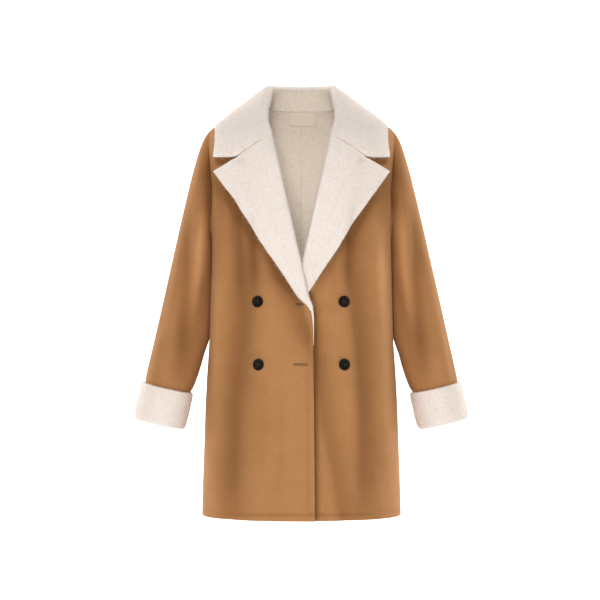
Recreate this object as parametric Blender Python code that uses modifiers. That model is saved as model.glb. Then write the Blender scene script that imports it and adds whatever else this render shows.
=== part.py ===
"""Long double-breasted coat, hollow, as filled out on a wearer.

Origin: centre of the neck opening, level with the back neck seam. +Z up, the front faces -Y.
Every wall is lofted through sections of one body surface or of one sleeve or cuff ring table.
Lengths are in millimetres until a mesh is made. Shapes are worked out for the wearer's left
(+X) and mirrored for the right.
"""

import math

import bmesh
import bpy
import numpy as np

MM = 0.001
OBJECT_NAME = "long_coat"

CLOTH_WALL = 4.2
PILE_WALL = 7.0
SEAM_GAP = 0.3
WRAP_GAP = 0.9
LYING_GAP = 0.5
LYING_SLACK = 0.9
HEM_Z = -854.0
UNDERARM_Z = -280.0
SHOULDER_TIP_Z = -44.0
NECK_POINT_Z = 6.0
ARMHOLE_INSET = 0.28

# z, half width, front depth, back depth, squareness, side pressed in by the arm
BODY_RINGS = (
    (-856, 207.0, 142.0, 130.0, 2.30, 0.0),
    (-780, 205.0, 141.0, 128.0, 2.30, 0.0),
    (-700, 202.0, 139.0, 125.0, 2.32, 0.0),
    (-610, 199.5, 137.0, 121.0, 2.35, 0.5),
    (-540, 197.5, 136.0, 118.0, 2.38, 3.0),
    (-470, 196.5, 136.0, 115.0, 2.40, 9.0),
    (-400, 196.0, 137.0, 113.0, 2.42, 14.0),
    (-340, 196.5, 138.0, 113.0, 2.44, 20.0),
    (-280, 197.5, 138.0, 114.0, 2.45, 22.0),
    (-230, 199.0, 136.0, 114.0, 2.45, 12.0),
    (-180, 200.5, 131.0, 112.0, 2.42, 4.0),
    (-130, 202.0, 123.0, 108.0, 2.38, 0.0),
    (-90, 201.0, 112.0, 101.0, 2.34, 0.0),
    (-62, 196.0, 100.0, 92.0, 2.30, 0.0),
    (-44, 186.0, 90.0, 84.0, 2.28, 0.0),
    (-30, 154.0, 80.0, 76.0, 2.24, 0.0),
    (-12, 110.0, 70.0, 66.0, 2.20, 0.0),
    (-2, 90.0, 62.0, 60.0, 2.18, 0.0),
    (6, 74.0, 55.0, 55.0, 2.15, 0.0),
    (14, 60.0, 48.0, 50.0, 2.12, 0.0),
)

# side (+1 left), front (-1) or back (+1), top z, top x, bottom z, bottom x, half width, depth, fade
BODY_FOLDS = (
    (-1, -1, -300, 118, -560, 133, 24, 5.5, 90),
    (-1, -1, -560, 133, -740, 142, 24, 4.5, 90),
    (-1, -1, -330, 62, -640, 68, 26, -3.0, 110),
    (-1, -1, -400, 176, -700, 178, 20, -2.5, 110),
    (-1, -1, -700, 60, -852, 66, 28, 3.0, 80),
    (1, -1, -300, 86, -520, 112, 22, 5.0, 90),
    (1, -1, -520, 112, -730, 124, 22, 4.5, 90),
    (1, -1, -500, 36, -800, 80, 24, 4.0, 90),
    (1, -1, -360, 150, -640, 160, 22, -3.0, 100),
    (1, -1, -640, 176, -852, 170, 24, 2.5, 80),
    (-1, 1, -260, 92, -620, 108, 28, 5.0, 120),
    (-1, 1, -560, 44, -852, 52, 30, 4.0, 120),
    (1, 1, -280, 104, -640, 98, 26, 5.0, 120),
    (1, 1, -600, 138, -852, 146, 26, 4.0, 110),
    (1, 1, -520, 56, -780, 48, 28, -3.0, 110),
)

# z, how far the under front is set back where the fronts cross
UNDER_SETBACK = (
    (-900, 6.2),
    (-500, 6.0),
    (-430, 11.0),
    (-400, 12.6),
    (-320, 12.6),
    (-285, 9.5),
    (-240, 4.5),
    (-195, 1.2),
    (-150, 0.0),
    (20, 0.0),
)
SETBACK_FULL_X = 30.0
SETBACK_END_X = 140.0

# Front edge and roll line of a front panel: x, z (x is across the centre where it is negative)
BREAK_POINT = (-23.5, -424.0)
ROLL_TOP = (67.5, -29.0)
HEM_EDGE_X = -27.5
ROLL_WIDTH = 7.4

# Neck seam of a front panel from the roll line up to the neck point: body angle, z
FRONT_NECK_STATIONS = (0.95, 0.90, 0.85, 0.80, 0.70, 0.60, 0.50)
BACK_NECK_STATIONS = (0.0, 0.0714, 0.1429, 0.2143, 0.2857, 0.3571, 0.4286, 0.50)

# Lapel outline on the front panel: x, z
GORGE = (57.5, -70.0)
NOTCH = (133.0, -112.5)
LAPEL_TIP = (177.5, -137.0)
LAPEL_FOOT = (-22.0, -423.0)
GORGE_GAP = 1.1
COLLAR_CORNER = (177.0, -108.5)

# Wrap of a lapel round a panel's edge: heights over the wall's centre, then turns round its corner
WRAP_HEIGHTS = (-1.6, 1.0)
WRAP_TURNS = (32.0, 66.0)
COLLAR_WRAP_HEIGHTS = (-1.6, -0.3, 1.0)
COLLAR_WRAP_TURNS = (18.0, 38.0, 60.0, 84.0)

# station, foot angle, foot z, middle angle, middle z, edge angle, edge z, fold x, fold y, fold z
COLLAR_STATIONS = (
    (0.00, 2.00, 0.0, 2.00, -20.0, 2.00, -46.0, 0.0, 67.0, 50.0),
    (0.14, 1.74, 0.4, 1.75, -20.0, 1.75, -47.0, 26.0, 64.5, 50.0),
    (0.28, 1.46, 1.6, 1.48, -20.0, 1.49, -47.0, 48.0, 53.0, 49.5),
    (0.40, 1.20, 3.6, 1.22, -18.0, 1.23, -43.0, 62.0, 34.0, 48.5),
    (0.50, 1.00, 6.0, 1.00, -16.0, 1.00, -33.5, 68.5, 10.0, 46.0),
    (0.59, 0.84, 3.6, 0.84, -20.0, 0.84, -37.5, 70.0, -14.0, 34.5),
    (0.68, 0.65, -3.0, 0.67, -31.0, 0.71, -50.0, 70.5, -38.0, 15.0),
    (0.77, 0.440, -14.0, 0.56, -50.0, 0.66, -68.0, 70.5, -58.0, -4.0),
    (0.87, 0.305, -29.0, 0.49, -78.0, 0.645, -89.0, 70.0, -76.0, -24.0),
    (0.935, 0.208, -49.5, 0.452, -95.0, 0.652, -99.0, 67.0, -85.0, -46.0),
    (1.00, 0.00, 0.0, 0.00, 0.0, 0.00, 0.0, 0.0, 0.0, 0.0),
)

# outer line x, z, inner line x, z, half depth, y of the middle
SLEEVE_RINGS = (
    (191.5, -49.0, 178.8, -276.0, 58.0, -6.5),
    (199.0, -58.0, 182.6, -274.4, 59.0, -6.5),
    (207.5, -75.0, 186.2, -276.8, 60.0, -6.5),
    (216.0, -99.0, 188.8, -283.5, 61.0, -6.5),
    (227.0, -137.0, 190.0, -295.0, 62.0, -6.5),
    (240.0, -192.0, 190.6, -313.0, 62.5, -7.0),
    (253.0, -248.0, 191.0, -337.0, 62.0, -7.5),
    (266.5, -308.0, 191.6, -369.0, 61.0, -8.0),
    (280.8, -370.0, 193.0, -411.0, 59.5, -9.0),
    (294.5, -432.0, 195.4, -456.0, 58.0, -10.0),
    (307.0, -486.0, 201.6, -501.0, 56.0, -11.0),
    (317.5, -532.0, 215.0, -550.0, 53.5, -12.5),
    (326.0, -568.0, 228.6, -589.0, 50.0, -13.0),
)
SLEEVE_SEAM_GAP = 0.45
SLEEVE_START = 4.5
UNDERARM_THINNING = 0.6
SLEEVE_COLUMNS = 24
SLEEVE_SQUARENESS = 2.15
SLEEVE_MORPH = (0.10, 0.28, 0.52, 0.76, 0.93)

# side, turned-back pile cuff: centre x, z of the top edge, centre x, z of the bottom edge
CUFF_AXES = {
    -1: (281.2, -586.6, 298.6, -663.4),
    1: (281.2, -586.2, 298.8, -662.6),
}
CUFF_HALF_WIDTH = 56.4
CUFF_HALF_DEPTH = 54.0
CUFF_Y = -13.5
# along the cuff on the outer face, radius change, along on the inner face, radius change
CUFF_SECTION = (
    (0.0, -4.4, 1.2, -8.2),
    (2.0, -1.0, 5.0, -8.2),
    (9.0, 0.0, 12.0, -8.2),
    (38.0, 0.6, 38.0, -8.2),
    (66.0, 0.2, 70.0, -8.2),
    (75.4, -1.4, 74.4, -8.2),
    (78.8, -5.6, 74.5, -13.1),
    (79.0, -10.0, 76.4, -13.3),
)
SLEEVE_END_ALONG = 74.0

# side, x, z of the button's centre, gap over the wall's highest point under its rim
BUTTONS = {
    "button_upper_right": (-1, 88.6, -406.5, 0.15),
    "button_lower_right": (-1, 86.6, -535.0, 0.15),
    "button_upper_left": (1, 86.6, -406.5, 0.8),
    "button_lower_left": (1, 86.6, -535.0, 0.0),
}
BUTTON_RADIUS = 11.7
BUTTON_STEPS = 20
BUTTON_HOLE_RADIUS = 1.15
BUTTON_HOLE_OFFSET = 2.4
# radius, height of the button's turned profile
BUTTON_PROFILE = (
    (0.0, 0.0),
    (9.8, 0.0),
    (11.7, 1.3),
    (11.4, 3.0),
    (9.8, 3.7),
    (8.0, 2.7),
    (0.0, 2.3),
)

LABEL_X = (-26.0, 28.0)
LABEL_Z = (-3.5, -28.5)
LABEL_WALL = 1.0
LABEL_GAP = 1.1

# base colour, roughness
FINISHES = {
    "wool": ((0.50, 0.26, 0.11, 1.0), 0.90),
    "pile": ((0.84, 0.77, 0.69, 1.0), 1.00),
    "horn": ((0.015, 0.012, 0.010, 1.0), 0.35),
    "label": ((0.80, 0.72, 0.62, 1.0), 0.70),
}

UP = np.array([0.0, 0.0, 1.0])


def hermite(xs, ys, x):
    """A smooth curve through (xs, ys), xs rising, with limited slopes so that it does not overshoot."""
    xs = np.asarray(xs, float)
    ys = np.asarray(ys, float)
    steps = np.diff(xs)
    slopes = np.diff(ys) / steps
    tangents = np.empty_like(ys)
    tangents[0] = slopes[0]
    tangents[-1] = slopes[-1]
    left = slopes[:-1]
    right = slopes[1:]
    same = left * right > 0
    mean = (left * steps[1:] + right * steps[:-1]) / (steps[1:] + steps[:-1])
    bound = 3.0 * np.minimum(abs(left), abs(right))
    tangents[1:-1] = np.where(same, np.sign(mean) * np.minimum(abs(mean), bound), 0.0)
    x = min(max(x, xs[0]), xs[-1])
    k = min(int(np.searchsorted(xs, x, side="right")) - 1, len(xs) - 2)
    h = steps[k]
    t = (x - xs[k]) / h
    a = ys[k] * (1 + 2 * t) * (1 - t) ** 2 + tangents[k] * h * t * (1 - t) ** 2
    b = ys[k + 1] * t * t * (3 - 2 * t) + tangents[k + 1] * h * t * t * (t - 1)
    return float(a + b)


def column(table, index):
    return [row[index] for row in table]


def smooth_step(value, start, end):
    t = min(max((value - start) / (end - start), 0.0), 1.0)
    return t * t * (3 - 2 * t)


def body_size(z):
    heights = column(BODY_RINGS, 0)
    return [hermite(heights, column(BODY_RINGS, i), z) for i in range(1, 6)]


def fold_depth(side, face, x, z):
    total = 0.0
    for row in BODY_FOLDS:
        row_side, row_face, top_z, top_x, bottom_z, bottom_x, half, depth, fade = row
        if row_side != side or row_face != face:
            continue
        along = (z - top_z) / (bottom_z - top_z)
        centre = top_x + (bottom_x - top_x) * along
        window = smooth_step(z, top_z + fade, top_z - 0.2 * fade)
        window *= smooth_step(z, bottom_z - fade, bottom_z + 0.2 * fade)
        total += depth * window * math.exp(-(((x - centre) / half) ** 2))
    return total


def body_point(side, angle, z):
    """A point of the body surface: angle 0 at the front centre, 1 at the side, 2 at the back."""
    width, front, back, square, pressed = body_size(z)
    theta = angle * math.pi / 2
    s = math.sin(theta)
    c = math.cos(theta)
    depth = front if c > 0 else back
    x = math.copysign(abs(s) ** (2 / square), s)
    y = -math.copysign(abs(c) ** (2 / square), c)
    normal = np.array([math.copysign(abs(x) ** (square - 1) / width, x),
                       math.copysign(abs(y) ** (square - 1) / depth, y), 0.0])
    normal /= np.linalg.norm(normal)
    point = np.array([x * width, y * depth, z])
    away = smooth_step(abs(point[1]), 4.0, 60.0)
    face = -1 if c > 0 else 1
    point -= normal * away * fold_depth(side, face, point[0], z)
    point[0] -= pressed * math.exp(-((point[1] / 46.0) ** 2)) * abs(x) ** 4
    if side > 0 and c > 0:
        reach = 1 - smooth_step(point[0], SETBACK_FULL_X, SETBACK_END_X)
        point[1] += reach * hermite(column(UNDER_SETBACK, 0), column(UNDER_SETBACK, 1), z)
    return point


def unit(vector):
    return vector / np.linalg.norm(vector)


def body_normal(side, angle, z):
    across = body_point(side, angle + 0.004, z) - body_point(side, angle - 0.004, z)
    upward = body_point(side, angle, z + 0.6) - body_point(side, angle, z - 0.6)
    return unit(np.cross(across, upward))


def angle_at(x, z):
    """The front angle that brings the body surface to this x."""
    width, _, _, square, _ = body_size(z)
    ratio = min(abs(x) / width, 1.0) ** (square / 2)
    return math.copysign(math.asin(ratio) / (math.pi / 2), x)


def roll_x(z):
    share = (z - BREAK_POINT[1]) / (ROLL_TOP[1] - BREAK_POINT[1])
    return BREAK_POINT[0] + (ROLL_TOP[0] - BREAK_POINT[0]) * share


def panel_edge_x(z):
    """The cut edge of a front panel, which the lapel's roll covers above the break."""
    plain = HEM_EDGE_X + (BREAK_POINT[0] - HEM_EDGE_X) * (z - HEM_Z) / (BREAK_POINT[1] - HEM_Z)
    if z < BREAK_POINT[1] - 6:
        return plain
    widening = smooth_step(z, BREAK_POINT[1] - 6, BREAK_POINT[1] + 16)
    return roll_x(max(z, BREAK_POINT[1])) + ROLL_WIDTH * widening


def front_left_line():
    """Rows of a front panel along its front edge, roll line and neck seam: angle, z."""
    heights = [HEM_Z, -800, -748, -696, -644, -592, -545, -500, -462, -436, -420, -404, -384, -362]
    heights += [-340, -320, -300, -278, -252, -218, -178, -138, -100, -70]
    rows = [(angle_at(panel_edge_x(z), z), z) for z in heights]
    return rows + [collar_station(u)[0] for u in FRONT_NECK_STATIONS]


def armhole(front, share):
    """Angle and z on the armhole from the underarm (0) to the shoulder tip (1)."""
    beta = math.pi * share
    inset = ARMHOLE_INSET * max(math.sin(beta), 0.0) ** (1.1 - 0.35 * share)
    inset *= 1 + 0.12 * math.cos(beta)
    z = UNDERARM_Z + (SHOULDER_TIP_Z - UNDERARM_Z) * (1 - math.cos(beta)) / 2
    return (1 - inset if front else 1 + inset * 0.94, z)


def side_line(front, rows_below, rows_above):
    heights = np.linspace(HEM_Z, UNDERARM_Z, rows_below + 1)
    rows = [(1.0, z) for z in heights]
    rows += [armhole(front, k / rows_above) for k in range(1, rows_above + 1)]
    return rows


def back_centre_line():
    heights = [HEM_Z, -811, -770, -729, -688, -647, -606, -565, -524, -483, -442, -401, -360, -320, -280]
    heights += [-220, -150, -90, -40]
    rows = [(2.0, z) for z in heights]
    return rows + [collar_station(u)[0] for u in BACK_NECK_STATIONS]


def make_material(name, finish):
    material = bpy.data.materials.new(name)
    material.use_nodes = True
    shader = material.node_tree.nodes["Principled BSDF"]
    colour, roughness = FINISHES[finish]
    shader.inputs["Base Color"].default_value = colour
    shader.inputs["Roughness"].default_value = roughness
    material.diffuse_color = colour
    return material


def make_shell(name, outer, inner, ring, finish, side=1):
    """One closed wall from two grids of points in rows; ring joins the last column to the first."""
    outer = np.asarray(outer, float)
    inner = np.asarray(inner, float)
    rows, columns, _ = outer.shape
    points = np.concatenate([outer.reshape(-1, 3), inner.reshape(-1, 3)])
    points = points * np.array([side, 1.0, 1.0]) * MM
    shift = rows * columns
    faces = []
    spans = columns if ring else columns - 1
    for i in range(rows - 1):
        for j in range(spans):
            a = i * columns + j
            b = i * columns + (j + 1) % columns
            faces.append((a, b, b + columns, a + columns))
            faces.append((a + shift, a + columns + shift, b + columns + shift, b + shift))
    for i in (0, rows - 1):
        for j in range(spans):
            a = i * columns + j
            b = i * columns + (j + 1) % columns
            faces.append((a, a + shift, b + shift, b))
    if not ring:
        for j in (0, columns - 1):
            for i in range(rows - 1):
                a = i * columns + j
                b = a + columns
                faces.append((a, b, b + shift, a + shift))
    mesh = bpy.data.meshes.new(name)
    mesh.from_pydata([tuple(p) for p in points], [], faces)
    work = bmesh.new()
    work.from_mesh(mesh)
    bmesh.ops.recalc_face_normals(work, faces=work.faces)
    work.to_mesh(mesh)
    work.free()
    for polygon in mesh.polygons:
        polygon.use_smooth = True
    made = bpy.data.objects.new(name, mesh)
    made.data.materials.append(make_material(name, finish))
    bpy.data.collections[OBJECT_NAME].objects.link(made)


def grid_normals(grid, ring):
    """Normals of a grid of points from the differences of its neighbours."""
    rows, columns, _ = grid.shape
    normals = np.empty_like(grid)
    for i in range(rows):
        for j in range(columns):
            up = grid[min(i + 1, rows - 1), j] - grid[max(i - 1, 0), j]
            if ring:
                across = grid[i, (j + 1) % columns] - grid[i, j - 1]
            else:
                across = grid[i, min(j + 1, columns - 1)] - grid[i, max(j - 1, 0)]
            normals[i, j] = unit(np.cross(across, up))
    return normals


def pull_in(grid, ring, amount):
    """Moves a grid's border toward its inside by this much, which leaves the seam gap."""
    result = grid.copy()
    if not ring:
        result[:, 0] += amount * np.array([unit(v) for v in grid[:, 1] - grid[:, 0]])
        result[:, -1] += amount * np.array([unit(v) for v in grid[:, -2] - grid[:, -1]])
    result[-1] += amount * np.array([unit(v) for v in grid[-2] - grid[-1]])
    return result


def panel_grid(side, left_line, right_line, columns):
    """Points and normals of a body panel ruled between two lines of (angle, z)."""
    points = []
    normals = []
    for start, end in zip(left_line, right_line):
        row = []
        row_normals = []
        for j in range(columns + 1):
            share = j / columns
            angle = start[0] + (end[0] - start[0]) * share
            z = start[1] + (end[1] - start[1]) * share
            row.append(body_point(side, angle, z))
            row_normals.append(body_normal(side, angle, z))
        points.append(row)
        normals.append(row_normals)
    return np.array(points), np.array(normals)


def make_panel(name, side, left_line, right_line, columns):
    points, normals = panel_grid(side, left_line, right_line, columns)
    half = CLOTH_WALL / 2
    outer = pull_in(points + half * normals, False, SEAM_GAP / 2)
    inner = pull_in(points - half * normals, False, SEAM_GAP / 2)
    make_shell(name, outer, inner, False, "wool", side)


def edge_frame(side, line, index):
    """Point, normal and direction out of the panel at one place of a boundary line of (angle, z)."""
    angle, z = line[index]
    before = line[max(index - 1, 0)]
    after = line[min(index + 1, len(line) - 1)]
    along = body_point(side, *after) - body_point(side, *before)
    normal = body_normal(side, angle, z)
    inside = body_point(side, angle + (-0.05 if angle <= 1 and line[1][0] < 1 else 0.05), z)
    centre = body_point(side, angle, z)
    out = unit(np.cross(along, normal))
    return centre, normal, out if np.dot(out, inside - centre) < 0 else -out


def on_front(side, x, z, lift):
    """A point this far above the centre of the front panel's wall, over this x and z."""
    angle = angle_at(x, z)
    return body_point(side, angle, z) + lift * body_normal(side, angle, z)


def lapel_path(share):
    """From the gorge on the roll line through the notch to the lapel's tip: x, z."""
    split = 0.62
    if share <= split:
        t = share / split
        start = (roll_x(GORGE[1]) + ROLL_WIDTH, GORGE[1])
        return start[0] + (NOTCH[0] - start[0]) * t, start[1] + (NOTCH[1] - start[1]) * t
    t = (share - split) / (1 - split)
    return NOTCH[0] + (LAPEL_TIP[0] - NOTCH[0]) * t, NOTCH[1] + (LAPEL_TIP[1] - NOTCH[1]) * t


def wrap_points(centre, beyond, normal, wall, heights, turns):
    """The middle of a pile wall that goes up past a panel's edge and turns over its outer corner."""
    reach = WRAP_GAP + wall / 2
    row = [centre + beyond * reach + normal * height for height in heights]
    facing = [beyond] * len(row)
    for turn in turns:
        direction = beyond * math.cos(math.radians(turn)) + normal * math.sin(math.radians(turn))
        row.append(centre + normal * CLOTH_WALL / 2 + direction * reach)
        facing.append(direction)
    return row, facing


def make_lapel(name, side):
    """The turned-out lapel: rows from the break up to the gorge, columns from the roll outward."""
    rows = 17
    shares = (0.03, 0.10, 0.22, 0.36, 0.50, 0.62, 0.74, 0.87, 1.0)
    points = []
    walls = []
    wrap_facings = []
    for i in range(rows + 1):
        v = i / rows
        foot_z = LAPEL_FOOT[1] + (GORGE[1] - GORGE_GAP - LAPEL_FOOT[1]) * v
        rim = (panel_edge_x(foot_z), foot_z)
        tip = (
            LAPEL_FOOT[0] + 12 + (LAPEL_TIP[0] - LAPEL_FOOT[0] - 12) * v,
            LAPEL_FOOT[1] - 2 + (LAPEL_TIP[1] - GORGE_GAP - LAPEL_FOOT[1] + 2) * v,
        )
        wall = hermite((0, 0.18, 0.42, 0.62, 1), (4.2, 5.2, 5.8, PILE_WALL, PILE_WALL), v)
        base = CLOTH_WALL / 2 + LYING_GAP + wall / 2
        angle = angle_at(*rim)
        normal = body_normal(side, angle, rim[1])
        above = body_point(side, angle_at(panel_edge_x(foot_z + 4), foot_z + 4), foot_z + 4)
        below = body_point(side, angle_at(panel_edge_x(foot_z - 4), foot_z - 4), foot_z - 4)
        beyond = unit(np.cross(normal, above - below))
        beyond *= -1 if beyond[0] > 0 else 1
        centre = body_point(side, angle, rim[1])
        row, facing = wrap_points(centre, beyond, normal, wall, WRAP_HEIGHTS, WRAP_TURNS)
        thick = [wall] * len(row)
        wrap_facings.append(facing)
        for share in shares:
            x = rim[0] + (tip[0] - rim[0]) * share
            z = rim[1] + (tip[1] - rim[1]) * share
            if v > 0.7:
                bend = (v - 0.7) / 0.3
                bent = lapel_path(share)
                line_x = lapel_path(0)[0] + (LAPEL_TIP[0] - lapel_path(0)[0]) * share
                line_z = GORGE[1] + (LAPEL_TIP[1] - GORGE[1]) * share
                x += (bent[0] - line_x) * bend * bend
                z += (bent[1] - line_z) * bend * bend
            slack = LYING_SLACK * math.sin(math.pi * min(share + 0.12, 1.0))
            row.append(on_front(side, x, z, base + slack))
            thick.append(wall * (1.0 if share < 0.8 else 1.0 - 1.6 * (share - 0.8)))
        points.append(row)
        walls.append(thick)
    points = np.array(points)
    walls = np.array(walls)[:, :, None]
    normals = grid_normals(points, False)
    if normals[rows // 2, -3][1] > 0:
        normals = -normals
    normals[:, :len(wrap_facings[0])] = np.array(wrap_facings)
    outer = points + normals * walls / 2
    inner = points - normals * walls / 2
    make_shell(name, outer, inner, False, "pile", side)


def collar_station(u):
    """One section of the collar for the left side: points from the neck seam over the fold to the edge."""
    us = column(COLLAR_STATIONS, 0)
    end_foot = (angle_at(roll_x(GORGE[1]) + ROLL_WIDTH, GORGE[1]), GORGE[1])
    end_mid = (angle_at(*NOTCH), NOTCH[1] + 0.6)
    end_edge = (angle_at(*COLLAR_CORNER), COLLAR_CORNER[1])
    last = {1: end_foot[0], 2: end_foot[1], 3: end_mid[0], 4: end_mid[1], 5: end_edge[0], 6: end_edge[1]}
    values = [
        hermite(us, column(COLLAR_STATIONS, i)[:-1] + [last[i]], u) for i in range(1, 7)
    ]
    foot = (values[0], values[1])
    mid = (values[2], values[3])
    edge = (values[4], values[5])
    return foot, mid, edge


def make_collar(name):
    """Stand, fold and fall in one wall; sections from the left front round the neck to the right."""
    stations = np.concatenate([np.linspace(0, 0.5, 8), np.linspace(0.5, 1.0, 11)[1:]])
    lift = CLOTH_WALL / 2 + LYING_GAP + PILE_WALL / 2
    half = []
    foot_normals = []
    wrap_facings = []
    tightness = []
    for u in stations:
        foot, mid, edge = collar_station(u)
        ahead = collar_station(min(u + 0.01, 1.0))[0]
        behind = collar_station(max(u - 0.01, 0.0))[0]
        centre = body_point(1, *foot)
        normal = body_normal(1, *foot)
        out = unit(np.cross(normal, body_point(1, *ahead) - body_point(1, *behind)))
        if out[2] < out[0]:
            out = -out
        fold = np.array([hermite(column(COLLAR_STATIONS, 0)[:-1], column(COLLAR_STATIONS, 7 + i)[:-1], u)
                         for i in range(3)])
        tight = smooth_step(u, 0.67, 0.84)
        seam = centre + out * WRAP_GAP
        fall_start = centre + normal * (lift + 0.4)
        outward = unit(normal * np.array([1, 1, 0.25]))
        inner_top = fold - outward * 4.6 - UP * 7.0
        outer_top = fold + outward * 7.6 - UP * 5.0
        loose = [seam, seam * 0.62 + inner_top * 0.38, seam * 0.28 + inner_top * 0.72, inner_top]
        loose += [fold - outward * 2.2 - UP * 1.6, fold + outward * 2.6, outer_top]
        heights = COLLAR_WRAP_HEIGHTS
        wrapped, facing = wrap_points(centre, out, normal, PILE_WALL, heights, COLLAR_WRAP_TURNS)
        row = [a * (1 - tight) + b * tight for a, b in zip(loose, wrapped)]
        outer_top = row[-1]
        for w in (0.14, 0.29, 0.44, 0.6, 0.8, 1.0):
            if w <= 0.6:
                t = w / 0.6
                angle = foot[0] + (mid[0] - foot[0]) * t
                z = foot[1] + (mid[1] - foot[1]) * t
            else:
                t = (w - 0.6) / 0.4
                angle = mid[0] + (edge[0] - mid[0]) * t
                z = mid[1] + (edge[1] - mid[1]) * t
            slack = 2.2 * LYING_SLACK * (1 - 0.45 * w * w)
            lying = body_point(1, angle, z) + body_normal(1, angle, z) * (lift + slack)
            row.append(lying + (1 - w) ** (0.72 + 0.5 * tight) * (outer_top - fall_start))
        half.append(row)
        foot_normals.append(-normal)
        wrap_facings.append(facing)
        tightness.append(tight)
    half = np.array(half)
    mirrored = half[1:][::-1] * np.array([-1.0, 1.0, 1.0])
    grid = np.concatenate([mirrored, half])
    normals = grid_normals(grid, False)
    middle = len(grid) // 2
    if normals[middle, -2][1] < 0:
        normals = -normals
    for k, (foot_normal, tight) in enumerate(zip(foot_normals, tightness)):
        for place, flip in ((middle + k, 1.0), (middle - k, -1.0)):
            level = foot_normal * np.array([flip, 1.0, 1.0])
            normals[place, 0] = unit(level * (1 - tight) + normals[place, 0] * tight)
            for j, direction in enumerate(wrap_facings[k]):
                turned = direction * np.array([flip, 1.0, 1.0])
                normals[place, j] = unit(normals[place, j] * (1 - tight) + turned * tight)
    walls = np.full(grid.shape[:2], PILE_WALL)
    walls[:, -1] *= 0.68
    walls[:, -2] *= 0.92
    walls[0] *= 0.8
    walls[-1] *= 0.8
    outer = grid + normals * walls[:, :, None] / 2
    inner = grid - normals * walls[:, :, None] / 2
    make_shell(name, outer, inner, False, "pile")


def ring_point(centre, across, half_depth, alpha, square):
    """A point of a tube ring: alpha 0 on the outer side, a quarter turn on the front."""
    c = math.cos(alpha)
    s = math.sin(alpha)
    power = 2 / square
    return (
        centre
        + across * math.copysign(abs(c) ** power, c)
        + np.array([0.0, -half_depth, 0.0]) * math.copysign(abs(s) ** power, s)
    )


def cuff_frame(side, along):
    top_x, top_z, end_x, end_z = CUFF_AXES[side]
    start = np.array([top_x, CUFF_Y, top_z])
    axis = unit(np.array([end_x - top_x, 0.0, end_z - top_z]))
    across = np.array([-axis[2], 0.0, axis[0]])
    return start + axis * along, across


def make_sleeve(name, side):
    steps = SLEEVE_COLUMNS // 2
    front_line = [armhole(True, k / steps) for k in range(steps + 1)]
    back_line = [armhole(False, k / steps) for k in range(steps + 1)]
    seam = []
    seam_normals = []
    seam_out = []
    for j in range(SLEEVE_COLUMNS):
        front = j <= steps
        line = front_line if front else back_line
        k = steps - j if front else j - steps
        point, normal, out = edge_frame(side, line, k)
        if k in (0, steps):
            slope = body_point(side, 1.0, line[k][1] + 2) - body_point(side, 1.0, line[k][1] - 2)
            out = unit(slope) * (1 if k == 0 else -1)
        seam.append(point)
        seam_normals.append(normal)
        seam_out.append(out)
    seam = np.array(seam)
    seam_normals = np.array(seam_normals)
    seam_out = np.array(seam_out)
    outer_point = seam[0]
    inner_point = seam[steps]
    centre = (outer_point + inner_point) / 2
    across = (outer_point - inner_point) / 2
    depth_mean = (max(seam[:, 1]) - min(seam[:, 1])) / 2
    centre[1] = (max(seam[:, 1]) + min(seam[:, 1])) / 2
    plane = unit(np.cross(across, np.array([0.0, 1.0, 0.0])))
    local = []
    for point in seam:
        offset = point - centre
        local.append((
            np.dot(offset, across) / np.dot(across, across),
            offset[1] / depth_mean,
            np.dot(offset, plane),
        ))
    rings = [seam + seam_out * SLEEVE_SEAM_GAP]
    for k, (ox, oz, ix, iz, depth, y) in enumerate(SLEEVE_RINGS):
        start = np.array([ox, y, oz])
        end = np.array([ix, y, iz])
        middle = (start + end) / 2
        reach = (start - end) / 2
        normal = unit(np.cross(reach, np.array([0.0, 1.0, 0.0])))
        weight = SLEEVE_MORPH[k] if k < len(SLEEVE_MORPH) else 1.0
        ring = []
        for j in range(SLEEVE_COLUMNS):
            alpha = 2 * math.pi * j / SLEEVE_COLUMNS
            oval = ring_point(middle, reach, depth, alpha, SLEEVE_SQUARENESS)
            a, b, e = local[j]
            cut = middle + reach * a + np.array([0.0, b * depth, 0.0]) + normal * e * (1 - weight)
            placed = oval * weight + cut * (1 - weight)
            if k == 0:
                height = smooth_step(seam[j][2], UNDERARM_Z, UNDERARM_Z + 120)
                start = seam[j] + seam_out[j] * SLEEVE_START * (0.55 + 0.45 * height)
                hold = 0.3 + 0.3 * height
                placed = (1 - hold) * placed + hold * start
            ring.append(placed)
        rings.append(np.array(ring))
    half_wall = CLOTH_WALL / 2
    clear = CUFF_SECTION[2][3] - SEAM_GAP - half_wall
    for along in (-1.5, 6.0, 38.0, SLEEVE_END_ALONG):
        middle, direction = cuff_frame(side, along)
        ring = []
        for j in range(SLEEVE_COLUMNS):
            alpha = 2 * math.pi * j / SLEEVE_COLUMNS
            ring.append(ring_point(middle, direction * (CUFF_HALF_WIDTH + clear),
                                   CUFF_HALF_DEPTH + clear, alpha, 2.0))
        rings.append(np.array(ring))
    grid = np.array(rings)
    normals = grid_normals(grid, True)
    normals[0] = seam_normals
    if normals[8, 0][0] < 0:
        normals[1:] = -normals[1:]
    walls = np.full(grid.shape[:2], half_wall)
    walls[1:4, steps - 4:steps + 5] *= UNDERARM_THINNING
    walls[0, steps - 3:steps + 4] *= 0.85
    outer = grid + normals * walls[:, :, None]
    inner = grid - normals * walls[:, :, None]
    make_shell(name, outer, inner, True, "wool", side)


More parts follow.
